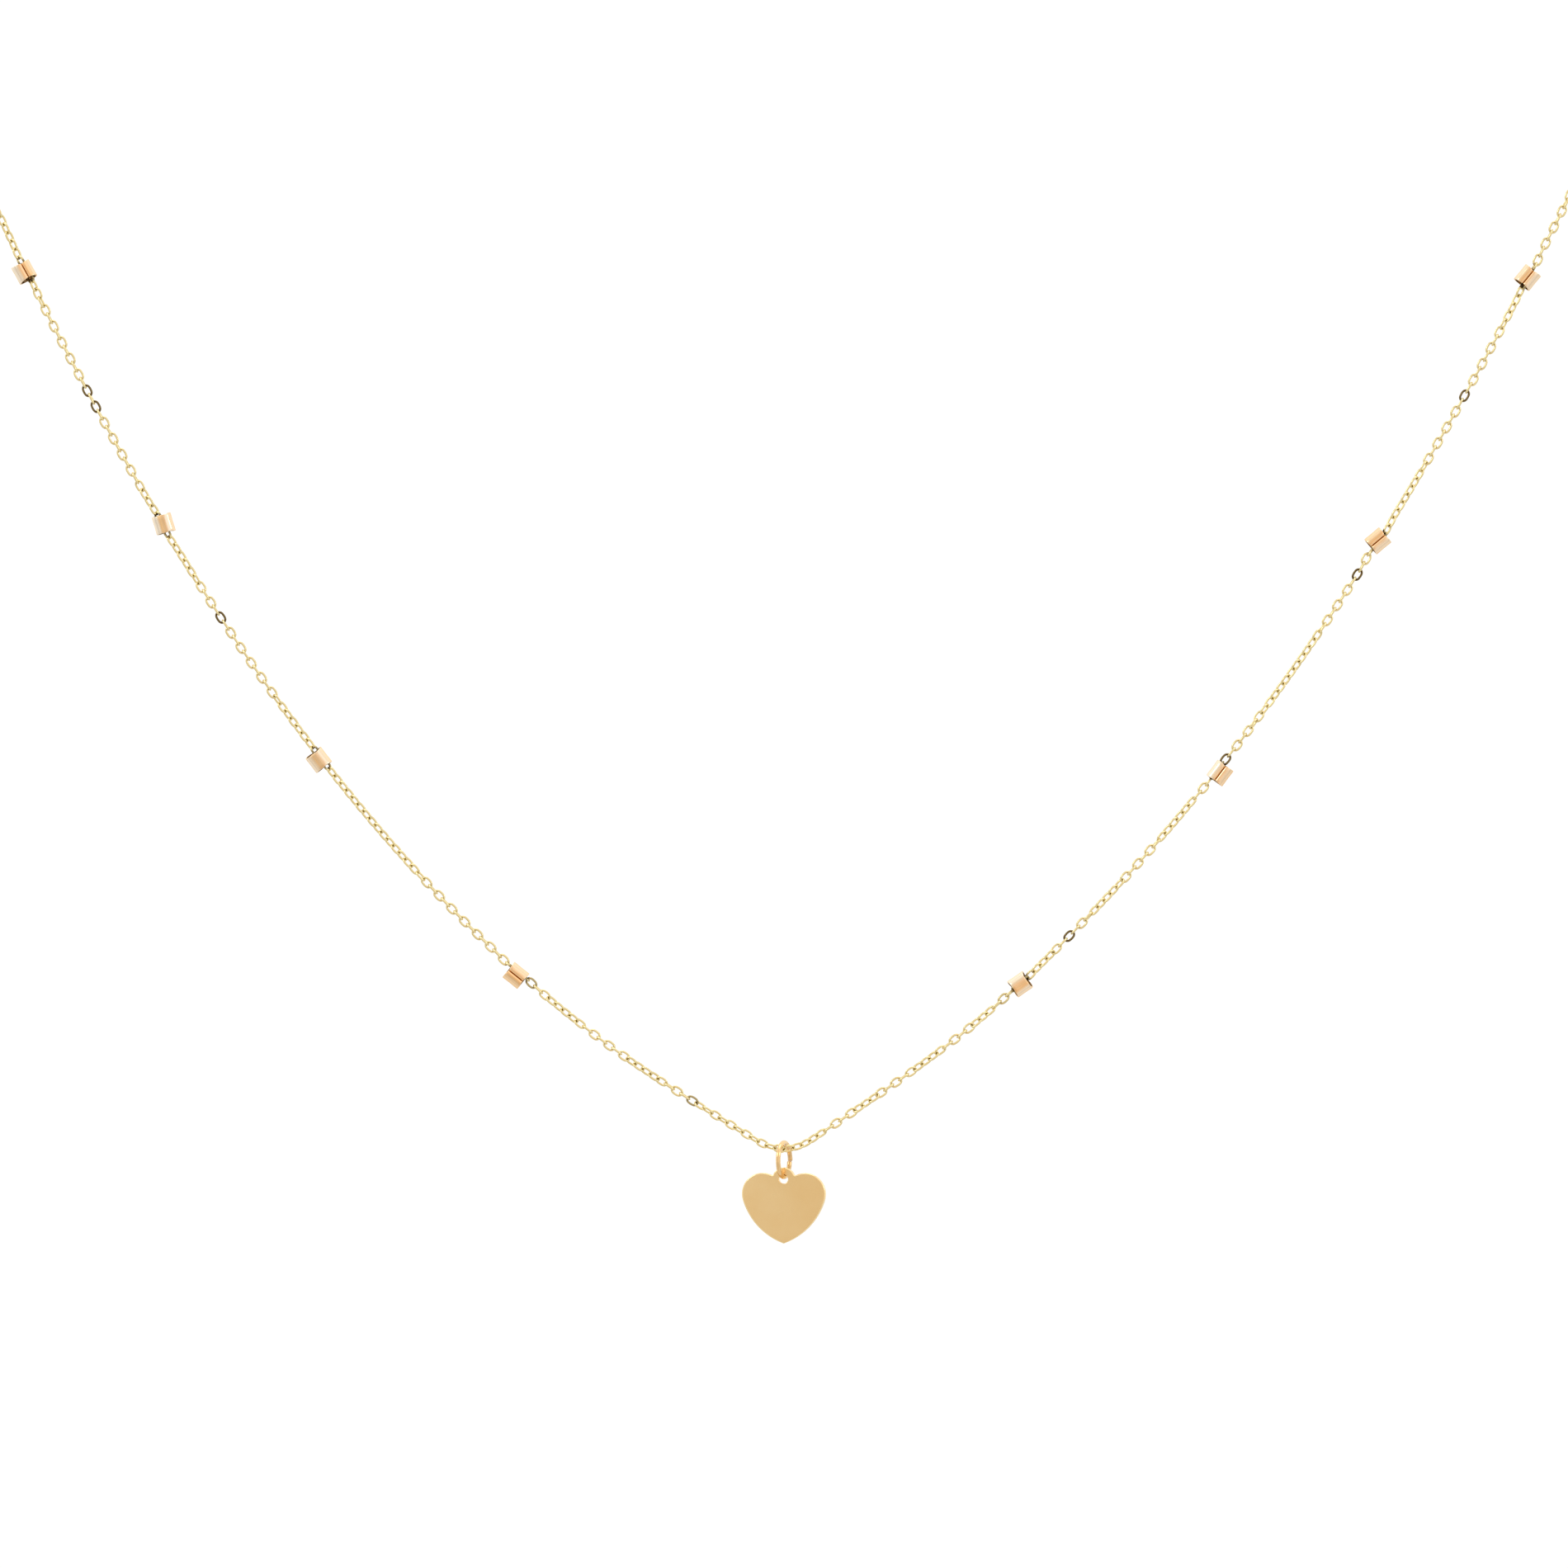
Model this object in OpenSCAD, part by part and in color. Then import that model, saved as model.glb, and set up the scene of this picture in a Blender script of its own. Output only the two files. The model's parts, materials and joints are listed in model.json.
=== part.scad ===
// Fine pendant necklace: oval cable chain with crimped tube beads at regular
// stations, a flat heart on a jump ring, and a lobster claw clasp at the nape.
// Millimetres, +Z up. The front of the loop hangs in the plane y = front_y and
// faces -Y; the origin is the middle of the neck that the loop rests on.

/* [Chain] */
// Outer length of one chain link
link_len = 1.316; // [1.30:0.002:1.33]
// Outer width of one chain link
link_w = 0.94; // [0.90:0.01:0.96]
// Thickness of the link wire
link_d = 0.14; // [0.12:0.01:0.16]
// Distance from one link to the next along the chain
pitch = 0.9375; // [0.93:0.0005:0.945]

/* [Beads] */
// Length of a crimped tube bead
bead_len = 1.98; // [1.7:0.01:2.1]
// Radius of the bead's two rounded sides
bead_r = 0.82; // [0.80:0.01:0.86]
// Sideways offset of each rounded side from the bead's middle
bead_side = 0.2; // [0.16:0.01:0.22]
// Radius of the channel that the chain runs in
bore_r = 0.49; // [0.48:0.005:0.50]

/* [Heart] */
// Thickness of the heart plate
heart_t = 0.7; // [0.5:0.05:0.8]
// Radius of the two lobes
lobe_r = 2.17; // [2.15:0.01:2.20]
// Diameter of the hole in the heart's ear
ear_hole = 0.95; // [0.90:0.01:1.0]
// Outer diameter of the heart's ear
ear_od = 2.4; // [2.2:0.05:2.6]
// Turn of the heart about the vertical
heart_yaw = 12; // [8:1:16]

/* [Jump ring] */
// Outer diameter of the pendant's jump ring
ring_od = 4.05; // [4.0:0.05:4.1]
// Wire diameter of the pendant's jump ring
ring_d = 0.5; // [0.46:0.01:0.5]
// Turn of the ring about the vertical
ring_yaw = 20; // [16:1:22]

/* [Clasp] */
// Thickness of the clasp body
clasp_t = 1.6; // [1.5:0.05:1.65]
// Thickness of the clasp lever
lever_t = 0.6; // [0.5:0.05:0.65]
// Diameter of the rivet that the lever turns on
rivet_d = 0.6; // [0.5:0.02:0.64]
// Outer diameter of the small ring between chain and clasp
clasp_ring_od = 3.2; // [3.15:0.01:3.25]
// Outer diameter of the closed ring that the clasp hooks into
end_ring_od = 4.4; // [4.38:0.01:4.42]

/* [Hidden] */
$fn = 64;

chain_gold = "#E6CF8E";
bead_gold = "#EDBE8C";
heart_gold = "#DCB67C";
ring_gold = "#E0B05A";
steel = "#C9CCD0";

// where the lowest joint of the chain hangs, from the middle of the neck
front_y = -17;
drop = 128;

// --- route: steepness and heading against distance from the lowest joint ---
// steepness of each strand above the horizontal, [distance, degrees]
steep_l = [[0, 8], [1, 10], [2, 24], [3, 31], [7.5, 31.7], [15, 32.8], [25, 38], [40, 44.7],
    [60, 51.4], [80, 56.5], [100, 60.7], [120, 63.7], [140, 66], [149, 52], [158, 23], [168, 12], [186, 5], [240, 0]];
steep_r = [[0, 8], [1, 10], [2, 26], [3, 33.5], [7.5, 34], [15, 35], [25, 39.8], [32, 44.2], [40, 45.9],
    [60, 51.3], [80, 56.4], [100, 59.9], [120, 62.6], [140, 65], [149, 52], [158, 23], [168, 12], [186, 5], [240, 0]];
// heading: 0 outwards, 90 backwards, 180 inwards
turn = [[0, 0], [126, 0], [134, 31], [143, 73], [152, 109], [162, 129], [180, 152], [206, 180], [240, 180]];
// roll of the links along each strand
roll_l = [[0, 28], [9, 24], [10, 60], [11, 86], [13.5, 86], [15, 44], [18.5, 44], [19.5, 2], [24, 2], [25, 44], [28.5, 44],
    [30, 86], [46, 86], [49, 44], [62, 44], [70, 40], [72, 4], [84, 0], [86.5, 44], [96, 44], [98, 86], [117, 86],
    [121, 52], [124, 45], [134, 45], [142, 0], [170, 10], [200, 40], [240, 90]];
roll_r = [[0, 44], [4.3, 44], [5, 2], [8, 2], [8.6, 44], [10.8, 44], [11.4, 2], [15, 2], [16, 44], [19, 44],
    [20, 2], [23, 2], [24, 44], [26, 44], [26.8, 86], [28.2, 86], [32, 44], [34.5, 44], [36, 88], [39.5, 88], [40.8, 44],
    [44.2, 44], [45.5, 0], [50, 0], [51, 44], [56, 44], [56.6, 88], [64, 88], [70, 44], [77, 44], [78.5, 2], [87.4, 2],
    [90.4, 44], [97, 44], [99, 86], [113, 86], [116, 50], [119, 44], [122, 2], [134, 0], [160, 20], [200, 45], [240, 0]];

// links at the middle of which the beads sit, counted from the lowest joint
bead_l = [36, 68, 99, 131, 163, 195, 227];
bead_r_at = [32, 64, 95, 129, 161, 193, 225];
n_l = 256;
n_r = 256;
// per bead: tilt of the chain inside it, sideways offset, face (1 crease to the front, -1 to the back), roll,
// slide along the chain from its link's middle, lean of the bead against the chain
set_l = [[-3, 0.38, 1, 0, -0.14, 0], [0, 0.31, -1, 12, 0, 0], [3, -0.13, -1, 20, 0.09, 12], [-3, 0.22, 1, -14, -0.18, 0],
    [0, 0.3, 1, 0, 0, 0], [4, 0.3, -1, 20, 0, 0], [-3, 0.3, 1, 0, 0, 0]];
set_r = [[-2, 0, -1, 10, 0.42, -6], [2, 0.36, 1, 0, 0.39, 0], [-6, -0.16, 1, 0, 0.3, -12], [-3, -0.1, 1, 0, -0.27, -9],
    [0, 0.3, 1, 10, 0, 0], [3, 0.3, -1, 0, 0, 0], [-2, 0.3, 1, 0, 0, 0]];

// middle of the clasp assembly, and where each strand's last joint must land
nape = [0, 17, 0];
end_l = [-8.09, 17, 0];
end_r = [8.11, 17, 0];

function seg(t, x, i = 0) = (i >= len(t) - 2 || x < t[i + 1][0]) ? i : seg(t, x, i + 1);
function along(t, x) = let (i = seg(t, x), a = t[i], b = t[i + 1],
    u = min(1, max(0, (x - a[0]) / (b[0] - a[0])))) a[1] + u * (b[1] - a[1]);
// inside a bead the chain follows the bead, and comes back to its line beside it
function kink(u) = abs(u) < 1.35 ? 1 : (abs(u) < 3.25 ? -0.71 : 0);
function sum(v, i = 0) = i >= len(v) ? 0 : v[i] + sum(v, i + 1);
function bend(s, at, set) = sum([for (k = [0:len(at) - 1]) set[k][0] * kink(s - (at[k] - 0.5) * pitch)]);
function heading(side, s) =
    let (e = along(side < 0 ? steep_l : steep_r, s)
            + (side < 0 ? bend(s, bead_l, set_l) : bend(s, bead_r_at, set_r)),
        a = along(turn, s))
    [side * cos(e) * cos(a), cos(e) * sin(a), sin(e)];
function walk(side, n) = [for (i = 0, p = [0, front_y, -drop]; i <= n;
    p = p + pitch * heading(side, (i + 0.5) * pitch), i = i + 1) p];
// the far part is eased by a little so that the strand's end lands on its target
function ease(path, n, target) = let (i0 = 134, d = target - path[n])
    [for (i = [0:n]) path[i] + (i > i0 ? (i - i0) / (n - i0) : 0) * d];
joints_l = ease(walk(-1, n_l), n_l, end_l);
joints_r = ease(walk(1, n_r), n_r, end_r);
function mid(J, i) = (J[i - 1] + J[i]) / 2;
function dir(J, i) = let (d = J[i] - J[i - 1]) d / norm(d);

module along_chain(J, i, roll) {
    d = dir(J, i);
    translate(mid(J, i)) rotate([roll, -asin(d[2]), atan2(d[1], d[0])]) children();
}

module stadium(len, w) {
    circle_r = w / 2;
    translate([len / 2 - circle_r, 0]) circle(circle_r);
    translate([circle_r - len / 2, 0]) circle(circle_r);
    square([len - w, w], center = true);
}

// one oval link, lying flat, long way along X
module link() {
    linear_extrude(link_d, center = true) difference() {
        stadium(link_len, link_w);
        stadium(link_len - 2 * link_d, link_w - 2 * link_d);
    }
}

module chain(side, first, last) {
    J = side < 0 ? joints_l : joints_r;
    roll = side < 0 ? roll_l : roll_r;
    for (i = [first:last])
        along_chain(J, i, along(roll, (i - 0.5) * pitch) + 90 * (i % 2)) link();
}

// section k of a strand ends one link beyond bead k
function first_link(at, k) = k == 1 ? 1 : at[k - 2] + 2;
function last_link(at, k, n) = k > len(at) ? n : at[k - 1] + 1;
module chain_left(k) { color(chain_gold) chain(-1, first_link(bead_l, k), last_link(bead_l, k, n_l)); }
module chain_right(k) { color(chain_gold) chain(1, first_link(bead_r_at, k), last_link(bead_r_at, k, n_r)); }

// section of a crimped bead: x is across it with the chain at the origin and
// its bulk towards -x, y is its depth with the pressed crease on the -y side
module bead_section(off, spread) {
    by = 0.14; // the channel lies a little behind the middle
    difference() {
        translate([-off, -by]) union() {
            translate([bead_side, 0]) circle(bead_r);
            translate([-bead_side, 0]) circle(bead_r);
            square([2 * bead_side, 2 * bead_r], center = true);
        }
        // wide enough for a chain that runs across it at the bead's lean
        for (m = spread > 0 ? [-1, 1] : [0]) translate([m * spread, 0]) circle(bore_r);
        if (spread > 0) square([2 * spread, 2 * bore_r], center = true);
        hull_slot(off);
        // the crease
        translate([-off - 0.08, -by - bead_r - 0.2])
            polygon([[-0.22, 0], [0.22, 0], [0.22, 0.22], [0.07, 0.34], [0.03, 0.52], [-0.03, 0.52], [-0.07, 0.34], [-0.22, 0.22]]);
    }
}

// flattened space on both sides of the channel
module hull_slot(off) {
    for (x = [-0.58, 0.44]) translate([x - off, 0]) circle(0.24);
    translate([-0.58 - off, -0.24]) square([1.02, 0.48]);
}

module bead(side, k) {
    J = side < 0 ? joints_l : joints_r;
    i = side < 0 ? bead_l[k - 1] : bead_r_at[k - 1];
    s = side < 0 ? set_l[k - 1] : set_r[k - 1];
    // local X along the chain, Z up across it, Y in depth
    face = -side * s[2];
    color(bead_gold) along_chain(J, i, side * s[3])
        translate([s[4], 0, 0]) rotate([0, -s[5], 0]) mirror([0, face < 0 ? 1 : 0, 0])
        rotate([0, 90, 0]) rotate([0, 0, 180])
        linear_extrude(bead_len, center = true) bead_section(s[1], s[5] == 0 ? 0 : bead_len / 2 * tan(abs(s[5])) + 0.02);
}

// --- pendant ---
ring_h = 0.68; // from the lowest joint up to the ring's wire
ring_z = ring_h + ring_d / 2 - ring_od / 2;
hole_z = ring_z - (ring_od / 2 - ring_d) - 0.02 + 0.04 - ear_hole / 2;

module heart_outline() {
    c = 2.25;
    zc = -1.54;
    side_r = 6.95;
    side_x = 2.3;
    side_z = -0.11;
    difference() {
        union() {
            for (m = [-1, 1]) translate([m * c, zc]) circle(lobe_r, $fn = 128);
            intersection() {
                translate([-side_x, side_z]) circle(side_r, $fn = 256);
                translate([side_x, side_z]) circle(side_r, $fn = 256);
                translate([-4.4, -8]) square([8.8, 6]);
            }
            // between the lobes, up to the ear
            polygon([[-2.25, -2.2], [2.25, -2.2], [1.1, 0.2], [-1.1, 0.2]]);
            circle(ear_od / 2);
        }
        circle(ear_hole / 2);
    }
}

module heart_pendant() {
    color(heart_gold) translate([0, front_y, hole_z - drop]) rotate([0, 0, -heart_yaw])
        rotate([90, 0, 0]) linear_extrude(heart_t, center = true) heart_outline();
}

// a round wire ring about Z
module wire_ring(od, d) { rotate_extrude() translate([od / 2 - d / 2, 0]) circle(d / 2); }

module pendant_jump_ring() {
    color(ring_gold) translate([0, front_y, ring_z - drop]) rotate([0, 0, -ring_yaw]) rotate([0, 90, 0])
        difference() {
            wire_ring(ring_od, ring_d);
            // the butt joint of the bent wire, on the back branch
            rotate([0, 0, 78]) translate([ring_od / 2 - ring_d / 2, 0, 0]) cube([1, 0.03, 1], center = true);
        }
}

// --- clasp, in its own frame: X from the chain's end to the hook, Z up, Y through its thickness ---
eye_x = -5.15;
module at_nape() { translate(nape) children(); }

module clasp_body() {
    color(chain_gold) at_nape() difference() {
        union() {
            // eye, thinner than the claw so that a small ring can pass through it
            rotate([90, 0, 0]) linear_extrude(0.8, center = true) union() {
                translate([eye_x, 0]) circle(1.1);
                translate([eye_x + 0.3, -0.7]) square([1.6, 1.4]);
            }
            rotate([90, 0, 0]) linear_extrude(clasp_t, center = true) difference() {
                union() {
                    // shoulder behind the lever
                    translate([-3.05, 0]) circle(1.45);
                    // back of the claw
                    difference() {
                        stadium(8.2, 4.8);
                        translate([0.1, 0.15]) stadium(5.9, 2.9);
                        // the gap that the lever closes
                        translate([-4.5, 0.35]) square([6.45, 3]);
                    }
                }
                // room for the lever's thumb piece
                translate([-6.5, 1.3]) square([5, 2]);
            }
        }
        translate([eye_x, 0, 0]) rotate([90, 0, 0]) cylinder(h = 3, r = 0.6, center = true);
        // slot for the lever between the two cheeks
        translate([-4.0, -lever_t / 2 - 0.06, -0.8]) cube([2.9, lever_t + 0.12, 3]);
        // rivet hole
        translate([lever_x, 0, lever_z]) rotate([90, 0, 0]) cylinder(h = 4, d = rivet_d, center = true);
    }
}

module clasp_rivet() {
    color(chain_gold) at_nape() translate([lever_x, 0, lever_z]) rotate([90, 0, 0])
        cylinder(h = clasp_t + 0.1, d = rivet_d - 0.02, center = true);
}

// where the lever turns
lever_x = -3.0;
lever_z = 0.35;

module clasp_lever() {
    color(chain_gold) at_nape() rotate([90, 0, 0]) linear_extrude(lever_t, center = true) difference() {
        union() {
            translate([lever_x, lever_z]) circle(0.72);
            // arm from the rivet to the tip of the claw
            intersection() {
                difference() {
                    stadium(8.1, 4.7);
                    translate([0, -0.1]) stadium(6.3, 3.2);
                }
                translate([-3.1, 0.8]) square([4.75, 3]);
            }
            polygon([[-3.5, 0.6], [-2.7, -0.2], [-1.6, 1.2], [-1.2, 1.5], [-1.2, 2.34], [-2.6, 1.9]]);
            // thumb piece
            translate([-3.3, 2.3]) circle(0.5);
            polygon([[-3.65, 0.5], [-2.4, 0.5], [-2.0, 2.2], [-2.95, 2.6], [-3.8, 2.2]]);
        }
        translate([lever_x, lever_z]) circle(rivet_d / 2 + 0.02);
    }
}

// a bent leaf of spring strip that presses the lever shut
module clasp_spring() {
    color(steel) at_nape() rotate([90, 0, 0]) linear_extrude(0.5, center = true)
        polygon([[-3.9, -0.79], [-2.1, -0.79], [-1.75, 0.6], [-1.85, 0.62], [-2.18, -0.69], [-3.9, -0.69]]);
}

// through the clasp's eye and the last link of the left strand
module clasp_jump_ring() { color(ring_gold) at_nape() translate([-6.87, 0, 0]) wire_ring(clasp_ring_od, 0.4); }

// the closed ring that the claw hooks
module end_ring() { color(chain_gold) at_nape() translate([4.35, 0, 0]) wire_ring(end_ring_od, 0.6); }

// joins the end ring to the last link of the right strand
module end_jump_ring() { color(ring_gold) at_nape() translate([6.99, 0, 0]) rotate([90, 0, 0]) wire_ring(3.0, 0.4); }

heart_pendant();
pendant_jump_ring();
chain_left(1);  // chain_left_1
chain_left(2);  // chain_left_2
chain_left(3);  // chain_left_3
chain_left(4);  // chain_left_4
chain_left(5);  // chain_left_5
chain_left(6);  // chain_left_6
chain_left(7);  // chain_left_7
chain_left(8);  // chain_left_8
chain_right(1);  // chain_right_1
chain_right(2);  // chain_right_2
chain_right(3);  // chain_right_3
chain_right(4);  // chain_right_4
chain_right(5);  // chain_right_5
chain_right(6);  // chain_right_6
chain_right(7);  // chain_right_7
chain_right(8);  // chain_right_8
bead(-1, 1);  // crimp_bead_left_1
bead(-1, 2);  // crimp_bead_left_2
bead(-1, 3);  // crimp_bead_left_3
bead(-1, 4);  // crimp_bead_left_4
bead(-1, 5);  // crimp_bead_left_5
bead(-1, 6);  // crimp_bead_left_6
bead(-1, 7);  // crimp_bead_left_7
bead(1, 1);  // crimp_bead_right_1
bead(1, 2);  // crimp_bead_right_2
bead(1, 3);  // crimp_bead_right_3
bead(1, 4);  // crimp_bead_right_4
bead(1, 5);  // crimp_bead_right_5
bead(1, 6);  // crimp_bead_right_6
bead(1, 7);  // crimp_bead_right_7
clasp_jump_ring();
clasp_body();
clasp_lever();
clasp_rivet();
clasp_spring();
end_jump_ring();
end_ring();
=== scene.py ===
import json
import math

import bmesh
import bpy
import numpy as np
from mathutils import Matrix, Vector


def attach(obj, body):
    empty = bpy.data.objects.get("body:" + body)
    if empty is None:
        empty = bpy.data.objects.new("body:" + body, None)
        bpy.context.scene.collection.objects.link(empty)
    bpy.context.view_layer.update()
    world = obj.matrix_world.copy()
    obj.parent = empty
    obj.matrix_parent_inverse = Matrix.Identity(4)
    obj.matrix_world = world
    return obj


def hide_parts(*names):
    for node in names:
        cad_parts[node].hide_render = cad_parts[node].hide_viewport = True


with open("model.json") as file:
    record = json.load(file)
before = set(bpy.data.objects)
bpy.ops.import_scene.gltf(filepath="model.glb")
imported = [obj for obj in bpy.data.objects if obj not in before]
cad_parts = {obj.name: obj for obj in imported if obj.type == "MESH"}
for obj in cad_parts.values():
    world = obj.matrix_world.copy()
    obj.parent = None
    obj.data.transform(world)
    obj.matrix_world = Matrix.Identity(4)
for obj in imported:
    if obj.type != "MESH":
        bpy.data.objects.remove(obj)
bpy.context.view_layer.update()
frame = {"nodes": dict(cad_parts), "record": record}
MM = 0.001
body_of_node = {n: b for b, ns in frame["record"]["behaviour"]["bodies"].items() for n in ns}

# ---------------------------------------------------------------- route of the two strands, as in the CAD source (mm)
link_len, link_w, pitch = 1.405, 0.97, 0.9375
wire = 0.235
bead_len = 1.98
front_y, drop = -17.0, 128.0
steep_l = [[0, 8], [1, 10], [2, 24], [3, 31], [7.5, 31.7], [15, 32.8], [25, 38], [40, 44.7],
           [60, 51.4], [80, 56.5], [100, 60.7], [120, 63.7], [140, 66], [149, 52], [158, 23], [168, 12], [186, 5], [240, 0]]
steep_r = [[0, 8], [1, 10], [2, 26], [3, 33.5], [7.5, 34], [15, 35], [25, 39.8], [32, 44.2], [40, 45.9],
           [60, 51.3], [80, 56.4], [100, 59.9], [120, 62.6], [140, 65], [149, 52], [158, 23], [168, 12], [186, 5], [240, 0]]
turn = [[0, 0], [126, 0], [134, 31], [143, 73], [152, 109], [162, 129], [180, 152], [206, 180], [240, 180]]
roll_l = [[0, 28], [9, 24], [10, 60], [11, 86], [13.5, 86], [15, 44], [18.5, 44], [19.5, 2], [24, 2], [25, 44], [28.5, 44],
          [30, 86], [46, 86], [49, 44], [62, 44], [70, 40], [72, 4], [84, 0], [86.5, 44], [96, 44], [98, 86], [117, 86],
          [121, 52], [124, 45], [134, 45], [142, 0], [170, 10], [200, 40], [240, 90]]
roll_r = [[0, 44], [4.3, 44], [5, 2], [8, 2], [8.6, 44], [10.8, 44], [11.4, 2], [15, 2], [16, 44], [19, 44],
          [20, 2], [23, 2], [24, 44], [26, 44], [26.8, 86], [28.2, 86], [32, 44], [34.5, 44], [36, 88], [39.5, 88], [40.8, 44],
          [44.2, 44], [45.5, 0], [50, 0], [51, 44], [56, 44], [56.6, 88], [64, 88], [70, 44], [77, 44], [78.5, 2], [87.4, 2],
          [90.4, 44], [97, 44], [99, 86], [113, 86], [116, 50], [119, 44], [122, 2], [134, 0], [160, 20], [200, 45], [240, 0]]
bead_l = [36, 68, 99, 131, 163, 195, 227]
bead_r = [32, 64, 95, 129, 161, 193, 225]
n_links = 256
# per bead: tilt of the chain inside it, sideways offset, face, roll, slide along the chain, lean against the chain
set_l = [[-3, 0.38, 1, 0, -0.14, 0], [0, 0.31, -1, 12, 0, 0], [3, -0.13, -1, 20, 0.09, 12], [-3, 0.22, 1, -14, -0.18, 0],
         [0, 0.3, 1, 0, 0, 0], [4, 0.3, -1, 20, 0, 0], [-3, 0.3, 1, 0, 0, 0]]
set_r = [[-2, 0, -1, 10, 0.42, -6], [2, 0.36, 1, 0, 0.39, 0], [-6, -0.16, 1, 0, 0.3, -12], [-3, -0.1, 1, 0, -0.27, -9],
         [0, 0.3, 1, 10, 0, 0], [3, 0.3, -1, 0, 0, 0], [-2, 0.3, 1, 0, 0, 0]]
nape = np.array([0, 17.0, 0])
end_l, end_r = np.array([-8.09, 17, 0]), np.array([8.11, 17, 0])


def along(t, x):
    return float(np.interp(x, [a[0] for a in t], [a[1] for a in t]))


def kink(u):
    u = abs(u)
    return 1.0 if u < 1.35 else (-0.71 if u < 3.25 else 0.0)


def walk(side, target):
    at, st, steep = (bead_l, set_l, steep_l) if side < 0 else (bead_r, set_r, steep_r)
    p = np.array([0.0, front_y, -drop])
    out = [p]
    for i in range(n_links):
        s = (i + 0.5) * pitch
        e = math.radians(along(steep, s) + sum(st[k][0] * kink(s - (at[k] - 0.5) * pitch) for k in range(len(at))))
        a = math.radians(along(turn, s))
        p = p + pitch * np.array([side * math.cos(e) * math.cos(a), math.cos(e) * math.sin(a), math.sin(e)])
        out.append(p)
    out = np.array(out)
    d = target - out[-1]
    i = np.arange(n_links + 1)
    out += (np.clip((i - 134) / (n_links - 134), 0, None))[:, None] * d
    return out


joints = {-1: walk(-1, end_l), 1: walk(1, end_r)}


def rot(rx, ry, rz):
    """OpenSCAD's rotate([rx, ry, rz]) in degrees, as a 3x3 array."""
    ax, ay, az = (math.radians(v) for v in (rx, ry, rz))
    X = np.array([[1, 0, 0], [0, math.cos(ax), -math.sin(ax)], [0, math.sin(ax), math.cos(ax)]])
    Y = np.array([[math.cos(ay), 0, math.sin(ay)], [0, 1, 0], [-math.sin(ay), 0, math.cos(ay)]])
    Z = np.array([[math.cos(az), -math.sin(az), 0], [math.sin(az), math.cos(az), 0], [0, 0, 1]])
    return Z @ Y @ X


def along_chain(side, i, roll):
    J = joints[side]
    d = J[i] - J[i - 1]
    d = d / np.linalg.norm(d)
    return rot(roll, -math.degrees(math.asin(d[2])), math.degrees(math.atan2(d[1], d[0]))), (J[i - 1] + J[i]) / 2


# ---------------------------------------------------------------- mesh helpers (all geometry made in mm, stored in metres)
class Build:
    """Collects vertices and faces of one piece, with two per-vertex values: tone (how far the metal is darkened, which
    carries painted shade and painted reflection as well as seams and random variation) and flow (lengthwise and
    crosswise place on the piece, in mm, for drawn lines)."""

    def __init__(self):
        self.v, self.f, self.tone, self.flow, self.mat = [], [], [], [], []

    def add(self, verts, faces, tone=0.0, flow=None, mat=0):
        base = len(self.v)
        verts = np.asarray(verts, float)
        self.v.extend(verts.tolist())
        self.f.extend([tuple(base + k for k in f) for f in faces])
        self.mat.extend([mat] * len(faces))
        self.tone.extend([tone] * len(verts) if np.isscalar(tone) else list(tone))
        if flow is None:
            flow = verts
        self.flow.extend(np.asarray(flow, float).tolist())

    def make(self, name, materials, smooth=True):
        me = bpy.data.meshes.new(name)
        me.from_pydata([[c * MM for c in p] for p in self.v], [], self.f)
        me.polygons.foreach_set("material_index", self.mat)
        me.polygons.foreach_set("use_smooth", [smooth] * len(me.polygons))
        a = me.attributes.new("tone", "FLOAT", "POINT")
        a.data.foreach_set("value", np.array(self.tone, np.float32))
        a = me.attributes.new("flow", "FLOAT_VECTOR", "POINT")
        a.data.foreach_set("vector", np.array(self.flow, np.float32).ravel())
        me.validate()
        bm = bmesh.new()
        bm.from_mesh(me)
        bmesh.ops.recalc_face_normals(bm, faces=bm.faces)
        bm.to_mesh(me)
        bm.free()
        me.update()
        ob = bpy.data.objects.new(name, me)
        bpy.context.scene.collection.objects.link(ob)
        for m in materials:
            me.materials.append(m)
        return ob


def grid_faces(rows, cols, wrap_cols=True, wrap_rows=False):
    f = []
    for r in range(rows if wrap_rows else rows - 1):
        for c in range(cols if wrap_cols else cols - 1):
            r2, c2 = (r + 1) % rows, (c + 1) % cols
            f.append((r * cols + c, r * cols + c2, r2 * cols + c2, r2 * cols + c))
    return f


def tube(path, radius, sides, closed, frame_up, squash=1.0):
    """A round wire along path (n x 3). frame_up is a direction that the section's second axis follows."""
    path = np.asarray(path, float)
    n = len(path)
    if closed:
        t = np.roll(path, -1, 0) - np.roll(path, 1, 0)
    else:
        t = np.gradient(path, axis=0)
    t /= np.linalg.norm(t, axis=1)[:, None]
    up = np.asarray(frame_up, float)
    up = np.broadcast_to(up, (n, 3))
    u = up - (up * t).sum(1)[:, None] * t
    u /= np.linalg.norm(u, axis=1)[:, None]
    w = np.cross(t, u)
    ang = 2 * np.pi * np.arange(sides) / sides
    radius = np.broadcast_to(np.asarray(radius, float), (n,))
    v = path[:, None, :] + radius[:, None, None] * (
        np.cos(ang)[None, :, None] * u[:, None, :] * squash + np.sin(ang)[None, :, None] * w[:, None, :])
    s = np.concatenate([[0], np.cumsum(np.linalg.norm(np.diff(path, axis=0), axis=1))])
    flow = np.stack(np.broadcast_arrays(s[:, None], ang[None, :] * radius[:, None], 0 * ang[None, :]), -1)
    return v.reshape(-1, 3), grid_faces(n, sides, True, closed), flow.reshape(-1, 3)


# ---------------------------------------------------------------- materials
def node(tree, kind, **inputs):
    n = tree.nodes.new(kind)
    for k, v in inputs.items():
        if k in n.inputs:
            n.inputs[k].default_value = v
        else:
            setattr(n, k, v)
    return n


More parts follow.
